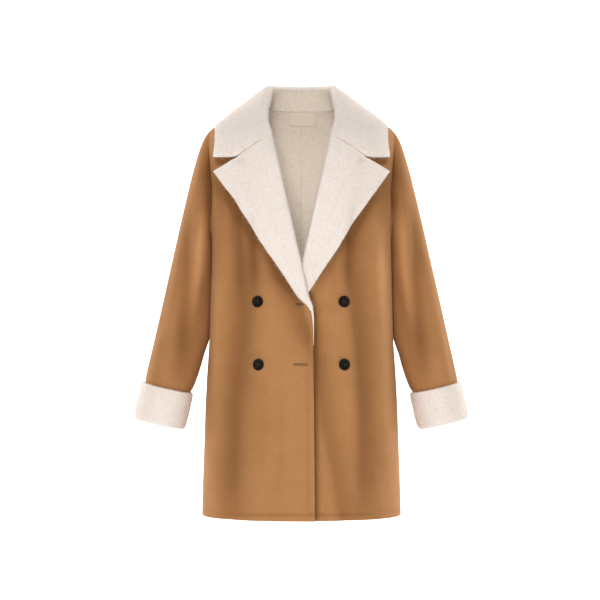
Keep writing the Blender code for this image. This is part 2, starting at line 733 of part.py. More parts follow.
def make_cuff(name, side):
    outer = []
    inner = []
    for along_outer, change_outer, along_inner, change_inner in CUFF_SECTION:
        for along, change, rows in (
            (along_outer, change_outer, outer),
            (along_inner, change_inner, inner),
        ):
            middle, direction = cuff_frame(side, along)
            ring = []
            for j in range(SLEEVE_COLUMNS):
                alpha = 2 * math.pi * j / SLEEVE_COLUMNS
                ring.append(ring_point(middle, direction * (CUFF_HALF_WIDTH + change),
                                       CUFF_HALF_DEPTH + change, alpha, 2.0))
            rows.append(ring)
    make_shell(name, outer, inner, True, "pile", side)


def make_button(name, side, x, z, gap):
    """A turned button with four thread holes, lying on its front panel."""
    mesh = bpy.data.meshes.new(name)
    points = [(radius * MM, 0.0, height * MM) for radius, height in BUTTON_PROFILE]
    mesh.from_pydata(points, [(k, k + 1) for k in range(len(points) - 1)], [])
    button = bpy.data.objects.new(name, mesh)
    bpy.data.collections[OBJECT_NAME].objects.link(button)
    turn = button.modifiers.new("turn", "SCREW")
    turn.axis = "Z"
    turn.angle = 2 * math.pi
    turn.steps = BUTTON_STEPS
    turn.render_steps = BUTTON_STEPS
    turn.use_merge_vertices = True
    turn.merge_threshold = 0.00005
    turn.use_normal_calculate = True
    turn.use_smooth_shade = True
    middle = on_front(side, x, z, CLOTH_WALL / 2)
    normal = body_normal(side, angle_at(x, z), z)
    rise = 0.0
    for k in range(16):
        turn = math.pi * k / 8
        under = on_front(side, x + BUTTON_RADIUS * math.cos(turn), z + BUTTON_RADIUS * math.sin(turn),
                         CLOTH_WALL / 2)
        rise = max(rise, float(np.dot(under - middle, normal)))
    centre = middle + normal * (gap + rise)
    rotation = np.array([side * normal[0], normal[1], normal[2]])
    tilt = math.atan2(math.hypot(rotation[0], rotation[1]), rotation[2])
    turned = math.atan2(rotation[1], rotation[0])
    button.location = tuple(centre * np.array([side, 1.0, 1.0]) * MM)
    button.rotation_euler = (0.0, tilt, turned)
    bpy.context.view_layer.update()
    for k in range(4):
        angle = math.pi / 4 + k * math.pi / 2
        bpy.ops.mesh.primitive_cylinder_add(vertices=8, radius=BUTTON_HOLE_RADIUS * MM, depth=0.012)
        cutter = bpy.context.active_object
        cutter.name = f"{name}_cutter_{k}"
        for owner in list(cutter.users_collection):
            owner.objects.unlink(cutter)
        bpy.data.collections["cutters"].objects.link(cutter)
        reach = BUTTON_HOLE_OFFSET * MM
        cutter.parent = button
        cutter.location = (reach * math.cos(angle), reach * math.sin(angle), 0.0)
        cutter.hide_render = True
        cutter.display_type = "WIRE"
        hole = button.modifiers.new(f"hole_{k}", "BOOLEAN")
        hole.operation = "DIFFERENCE"
        hole.solver = "EXACT"
        hole.object = cutter
    button.data.materials.append(make_material(name, "horn"))


def make_label(name):
    """A plain patch on the inside of the back, below the neck seam."""
    offset = -(CLOTH_WALL / 2 + LABEL_GAP + LABEL_WALL / 2)
    grid = []
    normals = []
    for i in range(4):
        z = LABEL_Z[0] + (LABEL_Z[1] - LABEL_Z[0]) * i / 3
        row = []
        row_normals = []
        for j in range(9):
            x = LABEL_X[0] + (LABEL_X[1] - LABEL_X[0]) * j / 8
            angle = 2.0 - angle_at(x, z)
            normal = body_normal(1, angle, z)
            row.append(body_point(1, angle, z) + normal * offset)
            row_normals.append(normal)
        grid.append(row)
        normals.append(row_normals)
    grid = np.array(grid)
    normals = np.array(normals)
    half = normals * LABEL_WALL / 2
    make_shell(name, grid + half, grid - half, False, "label")


def main():
    for old in list(bpy.data.objects):
        bpy.data.objects.remove(old)
    for title in (OBJECT_NAME, "cutters"):
        bpy.context.scene.collection.children.link(bpy.data.collections.new(title))
    for side, word in ((-1, "right"), (1, "left")):
        make_panel(f"front_{word}", side, front_left_line(), side_line(True, 18, 12), 13)
        make_panel(f"back_{word}", side, back_centre_line(), side_line(False, 14, 12), 11)
        make_sleeve(f"sleeve_{word}", side)
        make_cuff(f"cuff_{word}", side)
        make_lapel(f"lapel_{word}", side)
    make_collar("collar")
    for name, row in BUTTONS.items():
        make_button(name, *row)
    make_label("neck_label")


main()
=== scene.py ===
import math

import bpy
import numpy as np
from mathutils import Matrix, Vector, noise
from mathutils.bvhtree import BVHTree


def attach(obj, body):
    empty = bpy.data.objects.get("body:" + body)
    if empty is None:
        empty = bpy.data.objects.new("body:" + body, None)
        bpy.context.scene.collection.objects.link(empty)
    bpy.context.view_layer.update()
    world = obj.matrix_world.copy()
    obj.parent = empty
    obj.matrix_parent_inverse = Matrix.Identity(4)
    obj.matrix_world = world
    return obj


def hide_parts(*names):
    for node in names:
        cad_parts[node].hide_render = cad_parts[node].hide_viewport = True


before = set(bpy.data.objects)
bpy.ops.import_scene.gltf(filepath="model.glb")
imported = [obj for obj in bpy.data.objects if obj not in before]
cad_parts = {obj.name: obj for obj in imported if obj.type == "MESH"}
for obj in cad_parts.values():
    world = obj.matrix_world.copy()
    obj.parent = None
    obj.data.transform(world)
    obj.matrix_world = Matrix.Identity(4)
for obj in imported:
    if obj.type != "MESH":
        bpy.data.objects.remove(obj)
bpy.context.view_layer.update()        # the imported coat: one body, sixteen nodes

mm = 0.001

# camera, floor and light
studio = {
    "cameraPlace": (-0.003, -4.0, -0.4035),
    "lensMm": 113.8,
    "sensorMm": 36.0,
    "floorHeight": -1.42,        # where a wearer of this size would stand
    "floorHalfWidth": 7.0,
    "floorFront": -6.0,
    "floorBack": 3.6,
    "backdropTop": 5.5,
    "backdropRadius": 1.6,
    "floorColour": "#F8F7F5",
    "worldColour": "#FFFFFF",
    "worldStrength": 0.14,
    # name: place, aims at, width, height, watts
    "softboxes": {
        "softboxKey": ((-0.3, -4.5, 1.0), (0.0, 0.0, -0.42), 1.1, 1.1, 154.0),
        "softboxRimLeft": ((-3.2, 1.7, 0.2), (-0.1, 0.0, -0.42), 1.2, 2.4, 92.0),
        "softboxRimRight": ((3.2, 1.7, 0.2), (0.1, 0.0, -0.42), 1.2, 2.4, 112.0),
        "backdropLight": ((0.0, 1.6, 2.6), (0.0, 3.6, -0.6), 4.0, 1.2, 170.0),
    },
    # the same for a small lamp in the hollow below the neck, which shows the inside of the back
    "hollowLamp": ((0.0, -0.035, -0.18), (0.0, 0.1, -0.05), 0.07, 0.1, 0.055),
}


def toLinear(hexColour):
    channels = [int(hexColour[i:i + 2], 16) / 255 for i in (1, 3, 5)]
    return [c / 12.92 if c <= 0.04045 else ((c + 0.055) / 1.055) ** 2.4 for c in channels] + [1.0]


def addNode(tree, kind, settings=None, links=None):
    node = tree.nodes.new(kind)
    for key, value in (settings or {}).items():
        if isinstance(key, int) or key in node.inputs:
            node.inputs[key].default_value = value
        else:
            setattr(node, key, value)
    for key, source in (links or {}).items():
        tree.links.new(source, node.inputs[key])
    return node


def selectOnly(piece):
    bpy.ops.object.select_all(action="DESELECT")
    piece.select_set(True)
    bpy.context.view_layer.objects.active = piece


def newMaterial(name):
    material = bpy.data.materials.new(name)
    material.use_nodes = True
    return material, material.node_tree, material.node_tree.nodes["Principled BSDF"]


def setShader(shader, values):
    for key, value in values.items():
        shader.inputs[key].default_value = value


def setRamp(ramp, places, colours):
    for stop, place, colour in zip(ramp.color_ramp.elements, places, colours):
        stop.position = place
        stop.color = toLinear(colour)


def makeFloor():
    material, _, shader = newMaterial("mattWhitePaper")      # a plain paper sweep
    setShader(shader, {"Base Color": toLinear(studio["floorColour"]), "Roughness": 0.95})
    bpy.ops.mesh.primitive_plane_add(size=1.0, location=(0, 0, 0))
    floor = bpy.context.active_object
    floor.name = "paperSweep"
    depth = studio["floorBack"] - studio["floorFront"]
    floor.data.transform(Matrix.Diagonal((2 * studio["floorHalfWidth"], depth, 1.0, 1.0)))
    middle = (studio["floorBack"] + studio["floorFront"]) / 2
    floor.data.transform(Matrix.Translation((0, middle, studio["floorHeight"])))
    selectOnly(floor)
    bpy.ops.object.mode_set(mode="EDIT")
    bpy.ops.mesh.select_all(action="DESELECT")
    bpy.ops.object.mode_set(mode="OBJECT")
    for edge in floor.data.edges:
        ends = [floor.data.vertices[i].co.y for i in edge.vertices]
        edge.select = min(ends) > studio["floorBack"] - 0.01      # the far edge, which rises to the backdrop
    bpy.ops.object.mode_set(mode="EDIT")
    bpy.ops.mesh.select_mode(type="EDGE")
    rise = studio["backdropTop"] - studio["floorHeight"]
    bpy.ops.mesh.extrude_region_move(TRANSFORM_OT_translate={"value": (0, 0, rise)})
    bpy.ops.object.mode_set(mode="OBJECT")
    bend = floor.modifiers.new("bend", "BEVEL")
    bend.width = studio["backdropRadius"]
    bend.segments = 16
    bend.limit_method = "ANGLE"
    bpy.ops.object.modifier_apply(modifier="bend")
    bpy.ops.object.shade_smooth()
    floor.data.materials.append(material)


def aim(thing, target):
    direction = Vector(target) - thing.location
    thing.rotation_euler = direction.to_track_quat("-Z", "Y").to_euler()


def addLamp(name, place, target, width, height, watts):
    light = bpy.data.lights.new(name, "AREA")
    light.shape = "RECTANGLE"
    light.size = width
    light.size_y = height
    light.energy = watts
    lamp = bpy.data.objects.new(name, light)
    lamp.location = place
    aim(lamp, target)
    bpy.context.scene.collection.objects.link(lamp)
    return lamp


def makeStudio():
    world = bpy.data.worlds.new("whiteRoom")
    world.use_nodes = True
    background = world.node_tree.nodes["Background"]
    background.inputs["Color"].default_value = toLinear(studio["worldColour"])
    background.inputs["Strength"].default_value = studio["worldStrength"]
    bpy.context.scene.world = world
    for name, lamp in studio["softboxes"].items():
        addLamp(name, *lamp)
    addLamp("hollowLamp", *studio["hollowLamp"]).visible_camera = False
    camera = bpy.data.cameras.new("camera")
    camera.lens = studio["lensMm"]
    camera.sensor_width = studio["sensorMm"]
    camera.clip_end = 50
    eye = bpy.data.objects.new("camera", camera)
    eye.location = studio["cameraPlace"]
    eye.rotation_euler = (math.pi / 2, 0, 0)
    bpy.context.scene.collection.objects.link(eye)
    bpy.context.scene.camera = eye
    bpy.context.scene.view_settings.view_transform = "Standard"


makeStudio()
makeFloor()
print("camera, floor and soft boxes are in place")

# the wool: colours, sizes of its pattern and how it takes the light
wool = {
    "light": "#B17E52",
    "dark": "#A17042",
    "fold": "#643C16",           # painted shade in the bottom of a fold
    "foldShare": 0.35,
    "ridge": "#D2A070",          # painted highlight along a ridge
    "sheen": "#E6B98C",
    "fibreMm": 1.6,              # width of the brushed strands, drawn coarser than the real 0.3 mm
    "strandShare": 0.28,         # width of a strand over its length
    "cloudMm": 45.0,             # slow tone changes of a milled cloth
    "cloudShare": 0.45,
    "toneRange": (0.42, 0.98),
    "relief": 0.35,
    "reliefMm": 0.35,
    "roughness": 0.88,
}


def brushedWool(name):
    # camel wool-look cloth, milled and brushed: matt, a faint downward nap, a pale bloom at grazing light
    material, tree, shader = newMaterial(name)
    place = addNode(tree, "ShaderNodeTexCoord").outputs["Object"]
    fibre = 1 / (wool["fibreMm"] * mm)
    nap = addNode(tree, "ShaderNodeMapping", {"Scale": (fibre, fibre, fibre * wool["strandShare"])},
                  {"Vector": place})
    strands = addNode(tree, "ShaderNodeTexNoise", {"Scale": 1.0, "Detail": 3.0, "Roughness": 0.6},
                      {"Vector": nap.outputs["Vector"]})
    cloud = 1 / (wool["cloudMm"] * mm)
    clouds = addNode(tree, "ShaderNodeTexNoise", {"Scale": cloud, "Detail": 2.0}, {"Vector": place})
    blend = addNode(tree, "ShaderNodeMath", {"operation": "MULTIPLY_ADD", 1: wool["cloudShare"]},
                    {0: clouds.outputs["Fac"], 2: strands.outputs["Fac"]})
    ramp = addNode(tree, "ShaderNodeValToRGB", {}, {"Fac": blend.outputs[0]})
    setRamp(ramp, wool["toneRange"], (wool["dark"], wool["light"]))
    # painted shade: the foldShade attribute mixes the colour toward the fold colour in troughs, where
    # lapels, collar and sleeve heads cast shadow, beside the tucked front edge and along stitch lines; below
    # zero it mixes in a painted highlight on ridges
    fold = addNode(tree, "ShaderNodeAttribute", {"attribute_name": "foldShade"})
    share = addNode(tree, "ShaderNodeMath",
                    {"operation": "MULTIPLY", "use_clamp": True, 1: wool["foldShare"]},
                    {0: fold.outputs["Fac"]})
    shaded = addNode(tree, "ShaderNodeMix", {"data_type": "RGBA", 7: toLinear(wool["fold"])},
                     {0: share.outputs[0], 6: ramp.outputs["Color"]})
    rise = addNode(tree, "ShaderNodeMath", {"operation": "MULTIPLY", "use_clamp": True, 1: -1.0},
                   {0: fold.outputs["Fac"]})
    withPaintedHighlight = addNode(tree, "ShaderNodeMix", {"data_type": "RGBA", 7: toLinear(wool["ridge"])},
                     {0: rise.outputs[0], 6: shaded.outputs[2]})
    tree.links.new(withPaintedHighlight.outputs[2], shader.inputs["Base Color"])
    bump = addNode(tree, "ShaderNodeBump", {"Strength": wool["relief"], "Distance": wool["reliefMm"] * mm},
                   {"Height": strands.outputs["Fac"]})
    tree.links.new(bump.outputs["Normal"], shader.inputs["Normal"])
    setShader(shader, {"Roughness": wool["roughness"], "Specular IOR Level": 0.22, "Sheen Weight": 0.1,
                       "Sheen Roughness": 0.45, "Sheen Tint": toLinear(wool["sheen"])})
    return material


# the pile, and the same cloth's back with its shorter pile: colours at the tips and between them
pile = {
    "top": "#E8DDD5",
    "deep": "#DFD3CA",
    "curlMm": 5.5,
    "relief": 0.3,
    "backTop": "#D9CCBE",
    "backDeep": "#CCBDAD",
    "backCurlMm": 4.4,
    "backRelief": 0.25,
    "fibreMm": 0.9,
    "curlShare": -0.55,
    "toneRange": (0.0, 0.42),
    "reliefMm": 0.8,
    "roughness": 0.95,
}


def shearlingPile(name, top, deep, curlMm, relief):
    # cream shearling-look pile: short soft curls, matt, lighter at the tips than between them, partly random
    # tone and partly painted shade in the hollows between curls
    material, tree, shader = newMaterial(name)
    place = addNode(tree, "ShaderNodeTexCoord").outputs["Object"]
    curl = 1 / (curlMm * mm)
    curls = addNode(tree, "ShaderNodeTexVoronoi", {"feature": "SMOOTH_F1", "Scale": curl, "Smoothness": 0.7},
                    {"Vector": place})
    fibre = 1 / (pile["fibreMm"] * mm)
    fibres = addNode(tree, "ShaderNodeTexNoise", {"Scale": fibre, "Detail": 4.0, "Roughness": 0.65},
                     {"Vector": place})
    height = addNode(tree, "ShaderNodeMath", {"operation": "MULTIPLY_ADD", 1: pile["curlShare"]},
                     {0: curls.outputs["Distance"], 2: fibres.outputs["Fac"]})
    ramp = addNode(tree, "ShaderNodeValToRGB", {}, {"Fac": height.outputs[0]})
    setRamp(ramp, pile["toneRange"], (deep, top))
    tree.links.new(ramp.outputs["Color"], shader.inputs["Base Color"])
    bump = addNode(tree, "ShaderNodeBump", {"Strength": relief, "Distance": pile["reliefMm"] * mm},
                   {"Height": height.outputs[0]})
    tree.links.new(bump.outputs["Normal"], shader.inputs["Normal"])
    setShader(shader, {"Roughness": pile["roughness"], "Specular IOR Level": 0.12, "Sheen Weight": 0.22,
                       "Sheen Roughness": 0.6, "Sheen Tint": toLinear(top)})
    return material


horn = {"dark": "#0F0B09", "light": "#231A14", "streakMm": 6.25, "toneRange": (0.35, 0.8),
        "roughness": 0.42}


def polishedHorn(name):
    # resin pressed to look like dark horn: glossy, with faint brown streaks
    material, tree, shader = newMaterial(name)
    place = addNode(tree, "ShaderNodeTexCoord").outputs["Object"]
    streaks = addNode(tree, "ShaderNodeTexNoise",
                      {"Scale": 1 / (horn["streakMm"] * mm), "Detail": 3.0, "Distortion": 1.2},
                      {"Vector": place})
    ramp = addNode(tree, "ShaderNodeValToRGB", {}, {"Fac": streaks.outputs["Fac"]})
    setRamp(ramp, horn["toneRange"], (horn["dark"], horn["light"]))
    tree.links.new(ramp.outputs["Color"], shader.inputs["Base Color"])
    setShader(shader, {"Roughness": horn["roughness"], "IOR": 1.5, "Specular IOR Level": 0.18})
    return material


thread = {"camel": "#A8713F", "slit": "#57300F", "button": "#241C17", "label": "#D8C9B9",
          "twistsPerMm": 0.9, "reliefMm": 0.1, "roughness": 0.55}


def sewingThread(name, colour):
    # spun polyester sewing thread: satin, twisted
    material, tree, shader = newMaterial(name)
    place = addNode(tree, "ShaderNodeTexCoord").outputs["Object"]
    twist = addNode(tree, "ShaderNodeTexWave", {"Scale": thread["twistsPerMm"] / mm, "Distortion": 0.5},
                    {"Vector": place})
    bump = addNode(tree, "ShaderNodeBump", {"Strength": 0.4, "Distance": thread["reliefMm"] * mm},
                   {"Height": twist.outputs["Fac"]})
    tree.links.new(bump.outputs["Normal"], shader.inputs["Normal"])
    setShader(shader, {"Base Color": toLinear(colour), "Roughness": thread["roughness"],
                       "Sheen Weight": 0.2})
    return material


woolFinish = brushedWool("brushedCamelWool")
pileFinish = shearlingPile("creamShearlingPile", pile["top"], pile["deep"], pile["curlMm"], pile["relief"])
backFinish = shearlingPile("bondedPileBack", pile["backTop"], pile["backDeep"], pile["backCurlMm"],
                           pile["backRelief"])
hornFinish = polishedHorn("pressedDarkHornResin")
camelThread = sewingThread("camelSewingThread", thread["camel"])
slitThread = sewingThread("buttonholeTwist", thread["slit"])
buttonThread = sewingThread("darkButtonThread", thread["button"])
labelFinish = sewingThread("plainSatinLabel", thread["label"])
print("finishes are mixed")

# Troughs (positive depth) and ridges (negative) of the body: face (-1 front, 1 back), width to the left
# and to the right of the deepest line and depth in mm, and that line as x, z in mm. One wall is steep and
# the other slow, as in hanging cloth
bodyFolds = (
    (-1, 30, 30, 11.0, ((-158, -60), (-144, -200), (-130, -260), (-121, -330), (-123, -440), (-133, -540),
                        (-142, -620), (-146, -740), (-142, -980))),
    (-1, 26, 8, 9.4, ((-84, -296), (-56, -338), (-32, -376), (-12, -402), (-1, -428), (9, -462), (15, -490),
                      (19, -530))),
    (-1, 11, 9, 3.8, ((-148, -130), (-141, -230), (-137, -290), (-130, -420))),
    (-1, 9, 10, 4.4, ((-114, -190), (-108, -262), (-104, -320), (-98, -400))),
    (-1, 26, 15, 2.6, ((-92, -520), (-82, -640), (-90, -790))),
    (-1, 22, 13, 1.7, ((-46, -560), (-40, -690), (-50, -820))),
    (-1, 15, 10, 2.2, ((-104, -262), (-92, -330), (-84, -400))),
    (-1, 10, 10, 2.2, ((-184, -140), (-176, -190), (-166, -250))),
    (-1, 9, 9, 4.0, ((-142, -111), (-132, -112), (-118, -106))),
    (-1, 16, 14, -2.4, ((-170, -280), (-176, -430), (-178, -600), (-178, -780))),
    (-1, 20, 34, 10.5, ((150, -60), (124, -200), (112, -262), (102, -335), (114, -410), (124, -480),
                        (132, -600), (134, -680), (128, -960))),
    (-1, 14, 26, 7.0, ((22, -380), (30, -490), (38, -566), (52, -660), (74, -750), (88, -830), (112, -980))),
    (-1, 10, 9, 3.6, ((118, -190), (109, -262), (104, -320), (100, -392))),
    (-1, 10, 20, 1.8, ((62, -316), (72, -392), (66, -450))),
    (-1, 16, 24, -4.6, ((160, -200), (173, -430), (175, -600), (172, -780))),
    (-1, 10, 12, 2.0, ((182, -142), (174, -196), (164, -256))),
    (-1, 9, 9, 4.0, ((142, -111), (132, -112), (118, -106))),
    (1, 34, 17, 7.4, ((-134, -200), (-116, -290), (-110, -400), (-118, -530), (-122, -700))),
    (1, 15, 28, 4.6, ((-58, -330), (-52, -450), (-60, -600), (-56, -780))),
    (1, 24, 13, 3.0, ((-158, -440), (-150, -570), (-156, -730))),
    (1, 17, 32, 7.0, ((136, -210), (118, -300), (110, -410), (118, -560), (112, -720))),
    (1, 26, 15, 4.2, ((44, -400), (54, -520), (48, -660), (56, -800))),
    (1, 13, 24, 2.8, ((158, -520), (150, -650), (156, -810))),
    (1, 12, 12, 2.2, ((172, -150), (150, -200), (128, -262))),
    (1, 12, 12, 2.2, ((-174, -146), (-152, -194), (-132, -250))),
    (1, 16, 18, -2.0, ((14, -300), (8, -420), (16, -560))),
)
# painted shadow on the cloth below the edge of a lapel or collar, and in the notch under the collar's end:
# widths to the left and right in mm, how dark, and the line as x, z in mm
paintedEdgeShadows = (
    (17, 8, 1.9, ((-206, -112), (-182, -146), (-146, -196), (-108, -250), (-70, -306), (-34, -360),
                  (4, -412), (24, -440))),
    (8, 17, 1.7, ((206, -112), (182, -146), (146, -196), (108, -250), (70, -306), (34, -360), (14, -396),
                  (4, -420))),
    (9, 10, 4.4, ((-188, -116), (-156, -116), (-136, -115), (-92, -96))),
    (10, 9, 4.4, ((188, -116), (156, -116), (136, -115), (92, -96))),
)
# painted shadow on the sleeve heads beside the collar and on the inner sleeve beside the body: side, degrees
# before and after, how dark, share and turn
paintedSleeveShadows = (
    (-1, 22, 32, 2.3, ((-0.42, 84), (-0.2, 88), (0.0, 94), (0.12, 106), (0.26, 138))),
    (1, 22, 32, 2.2, ((-0.42, 84), (-0.2, 88), (0.0, 94), (0.12, 106), (0.26, 138))),
    (-1, 34, 60, 0.75, ((0.52, 126), (0.7, 118), (0.9, 114), (1.4, 110))),
    (1, 34, 60, 0.6, ((0.52, 126), (0.7, 118), (0.9, 114), (1.4, 110))),
)
# the lower front tucks in beside the edge of the upper one, and a painted shadow lies beside that edge: that
# edge as x, z in mm, depth, width, and the painted shadow's darkness
tuckedFront = {"edge": ((15.5, -388), (21.4, -411), (25.6, -430), (26.4, -460), (26.2, -500), (27.0, -700),
                        (27.6, -858)),
               "depthMm": 4.6, "widthMm": 9.0, "shade": 1.9, "shadeMm": 6.5,
               "softShade": 0.5, "softMm": 17.0, "fadeMm": (12, -8)}

# the solids' own large folds on the front, which the ones above take over, filled in again the same way
filledFolds = (
    (-1, 24, 24, -4.6, ((-118, -270), (-126, -430), (-133, -560), (-142, -760))),
    (-1, 22, 22, -4.2, ((86, -270), (112, -520), (124, -750))),
    (-1, 22, 22, -3.2, ((36, -480), (58, -650), (80, -820))),
)
# painted shade: how deep a fold or a line of stitches must be to take the full painted shade, and how far
# the painted highlight and the painted shade may go
paintedShadeScale = {"foldMm": 7.0, "stitchShare": 1.5, "palest": -0.6, "darkest": 2.4}

# Sleeve folds: side, widths before and after the deepest line in degrees, depth in mm, and the line as share
# down the sleeve and turn round it (0 outside, 90 front, 180 inside, 270 back)
sleeveFolds = (
    (-1, 20, 15, 9.0, ((0.06, 68), (0.18, 70), (0.30, 75), (0.44, 84), (0.56, 96), (0.70, 104),
                       (0.90, 110))),
    (-1, 15, 14, -1.9, ((-0.16, 87), (0.12, 93), (0.29, 99), (0.44, 108), (0.56, 116), (0.76, 124))),
    (-1, 17, 13, 6.2, ((-0.18, 98), (-0.04, 100), (0.08, 112), (0.20, 132), (0.30, 146))),
    (-1, 18, 24, 4.6, ((0.36, 146), (0.56, 132), (0.76, 124), (0.97, 118))),
    (-1, 12, 18, 1.8, ((0.28, 44), (0.50, 40), (0.74, 46))),
    (-1, 9, 14, 2.0, ((0.70, 66), (0.84, 58), (0.99, 62))),
    (-1, 20, 18, 6.4, ((0.12, 286), (0.34, 276), (0.58, 282), (0.80, 274))),
    (-1, 14, 20, 3.4, ((0.44, 228), (0.66, 240), (0.92, 250))),
    (1, 21, 15, 9.0, ((0.04, 66), (0.18, 70), (0.32, 76), (0.46, 86), (0.57, 95), (0.70, 103), (0.90, 108))),
    (1, 15, 14, -2.2, ((-0.16, 87), (0.12, 91), (0.28, 96), (0.44, 108), (0.57, 117), (0.76, 124))),
    (1, 17, 13, 6.2, ((-0.18, 98), (-0.04, 102), (0.08, 116), (0.22, 138))),
    (1, 18, 24, 4.6, ((0.40, 148), (0.58, 130), (0.78, 122), (0.97, 116))),
    (1, 16, 10, 2.0, ((0.60, 40), (0.78, 34), (0.97, 40))),
    (1, 18, 20, 6.4, ((0.14, 282), (0.36, 278), (0.56, 270), (0.80, 276))),
    (1, 20, 13, 3.4, ((0.46, 234), (0.68, 244), (0.92, 258))),
)
# the sleeve leans on the side of the body down to the hip: z, and how far its inner side goes out, in mm
sleeveLean = ((-250, 0.0), (-300, 3.4), (-350, 3.0), (-400, 3.2), (-440, 3.4), (-478, 4.8), (-492, 3.4),
              (-516, 0.0))
# in mm, the wearer's left; the right mirrors it
sleeveAxis = {"top": (196.0, -8.0, -150.0), "end": (286.0, -13.0, -604.0)}
# where the folds of a sleeve fade out, and how many degrees of turn count as one length of the sleeve
sleeveFade = {"innerDegrees": 34.0, "headShare": (-0.3, -0.1), "endShare": (1.0, 0.93), "topZ": (-60, -110),
              "degreesPerShare": 400.0}
# the body is an oval, and the cloth on it never hangs quite even, except near the neck and the side seams
bodyOval = {"halfWidthMm": 200, "halfDepthMm": 128, "faceY": -6, "foldY": (20, 62), "frontY": (-20, -50)}
gentleWave = {"heightMm": 0.9, "lengthMm": 85.0, "neckZ": (-60, -200), "sideX": (192, 150)}

# the stitches that hold the edges down also press them: distance in from the edge, half width, depth
topstitch = {"insetMm": 12.0, "halfWidthMm": 2.0, "depthMm": 0.55, "frontTop": -452.0, "hemZ": -841.5,
             "fadeMm": 18, "edgeTop": (23.6, -424.0), "edgeBottom": (27.4, -854.0)}


def smoothStep(value, start, end):
    t = np.clip((value - start) / (end - start), 0, 1)
    return t * t * (3 - 2 * t)


def foldDepth(a, b, before, after, depth, line):
    # how far cloth at (a, b) goes in for one fold, fading toward both its ends
    points = np.array(line, float)
    lengths = np.linalg.norm(np.diff(points, axis=0), axis=1)
    total = lengths.sum()
    nearest = np.full(a.shape, 1e9)
    along = np.zeros(a.shape)
    width = np.full(a.shape, float(after))
    walked = 0.0
    for start, end, length in zip(points[:-1], points[1:], lengths):
        t = ((a - start[0]) * (end[0] - start[0]) + (b - start[1]) * (end[1] - start[1])) / length ** 2
        t = np.clip(t, 0, 1)
        away = np.hypot(a - start[0] - t * (end[0] - start[0]), b - start[1] - t * (end[1] - start[1]))
        closer = away < nearest
        nearest = np.where(closer, away, nearest)
        along = np.where(closer, (walked + t * length) / total, along)
        width = np.where(closer, np.where(a < start[0] + t * (end[0] - start[0]), before, after), width)
        walked += length
    fade = smoothStep(along, -0.02, 0.28) * smoothStep(along, 1.02, 0.72)
    return depth * fade * np.exp(-(nearest / width) ** 2)


def wave(points, lengthMm):
    return np.array([noise.noise(Vector(p) / lengthMm) for p in points])


def unit(vectors):
    return vectors / np.maximum(np.linalg.norm(vectors, axis=1, keepdims=True), 1e-9)


def bodyOutward(points):
    x, y, _ = points.T
    width, depth = bodyOval["halfWidthMm"], bodyOval["halfDepthMm"]
    return unit(np.stack([x / width ** 2, y / depth ** 2, np.zeros_like(x)], axis=1))


def edgeStitchX(z):
    # x of the line of stitches beside the front edge, at a height
    (topX, topZ), (bottomX, bottomZ) = topstitch["edgeTop"], topstitch["edgeBottom"]
    return topX + (z - topZ) / (bottomZ - topZ) * (bottomX - topX) - topstitch["insetMm"]


def bodyShift(points):
    # how far cloth at these places (mm) goes in: in all, below the stitches, and in its folds alone, which
    # sets the painted shade
    x, y, z = points.T
    face = np.where(y < bodyOval["faceY"], -1, 1)
    depth = gentleWave["heightMm"] * wave(points * (1, 0.6, 0.5), gentleWave["lengthMm"])
    depth *= smoothStep(z, *gentleWave["neckZ"]) * smoothStep(abs(x), *gentleWave["sideX"])
    folded = np.zeros_like(x)
    for table in (bodyFolds, filledFolds):
        for foldFace, before, after, foldIn, line in table:
            reach = np.where(face == foldFace, smoothStep(abs(y), *bodyOval["foldY"]), 0)
            fold = reach * foldDepth(x, z, before, after, foldIn, line)
            depth = depth + fold
            if table is bodyFolds:
                folded = folded + fold
    stitches = topstitch
    pressed = np.exp(-((z - stitches["hemZ"]) / stitches["halfWidthMm"]) ** 2)
    edgeLine = np.exp(-((x - edgeStitchX(z)) / stitches["halfWidthMm"]) ** 2)
    edgeLine *= smoothStep(z, stitches["frontTop"] + stitches["fadeMm"], stitches["frontTop"])
    pressed = np.maximum(pressed, edgeLine * (face < 0) * (z > stitches["hemZ"]))
    return depth, pressed * stitches["depthMm"], folded


def sleeveFrame(points, side):
    # share down the sleeve, turn round it in degrees, and which way is out of it
    top = np.array(sleeveAxis["top"]) * (side, 1, 1)
    end = np.array(sleeveAxis["end"]) * (side, 1, 1)
    axis = (end - top) / np.linalg.norm(end - top)
    across = np.array([-axis[2] * side, 0, axis[0] * side])
    share = ((points - top) @ axis) / np.linalg.norm(end - top)
    centre = top + share[:, None] * (end - top)
    off = points - centre
    turn = np.degrees(np.arctan2(-off[:, 1], off @ across)) % 360
    return share, turn, unit(off)


def sleeveFold(share, turn, before, after, depth, line):
    stretch = sleeveFade["degreesPerShare"]
    turned = [(degrees, down * stretch) for down, degrees in line]
    return foldDepth(turn, share * stretch, before, after, depth, turned)


def verticesOf(piece):
    flat = np.empty(len(piece.data.vertices) * 3)
    piece.data.vertices.foreach_get("co", flat)
    return flat.reshape(-1, 3)


def setVertices(piece, points):
    piece.data.vertices.foreach_set("co", points.astype(np.float32).ravel())
    piece.data.update()


def noteShade(piece, shade):
    # stores the painted shade for the wool's colour: above zero it darkens, below zero it paints a highlight
    layer = piece.data.attributes.new("foldShade", "FLOAT", "POINT")
    shade = np.clip(shade, paintedShadeScale["palest"], paintedShadeScale["darkest"])
    layer.data.foreach_set("value", shade.astype(np.float32))


